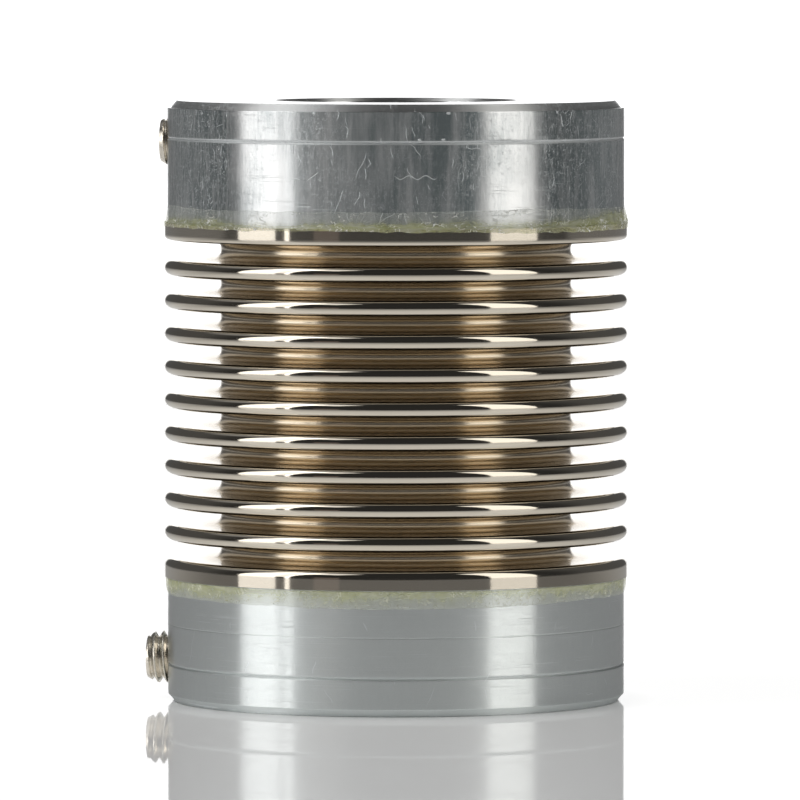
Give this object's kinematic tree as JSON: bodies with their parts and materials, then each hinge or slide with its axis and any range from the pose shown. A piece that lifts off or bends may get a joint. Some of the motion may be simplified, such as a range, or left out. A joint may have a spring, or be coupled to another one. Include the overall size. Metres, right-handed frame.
{
  "type": "bellows coupling",
  "caption": "Zero-backlash shaft coupling: a thin-walled metal bellows bonded between two bored hubs, each clamped to its shaft by a radial set screw.",
  "frame": {"origin": "centre of the lower hub's outer face, on the coupling's axis", "axes": "+Z along the axis from the lower hub to the upper hub; the set screws point along -X"},
  "size_m": [0.037, 0.0356, 0.046],
  "materials": {
    "lower_hub": "turned, smooth, with fine scratches",
    "upper_hub": "turned, dull and scuffed",
    "bellows": "bright formed steel with a faint bronze tint in the roots",
    "lower_adhesive": "pale translucent adhesive",
    "upper_adhesive": "yellow-green translucent adhesive",
    "set_screws": "bright machined steel"
  },
  "bodies": {
    "root": {"lower_hub": "lower_hub", "upper_hub": "upper_hub", "bellows": "bellows", "lower_adhesive": "lower_adhesive", "upper_adhesive": "upper_adhesive", "lower_set_screw": "set_screws", "upper_set_screw": "set_screws"}
  },
  "joints": []
}
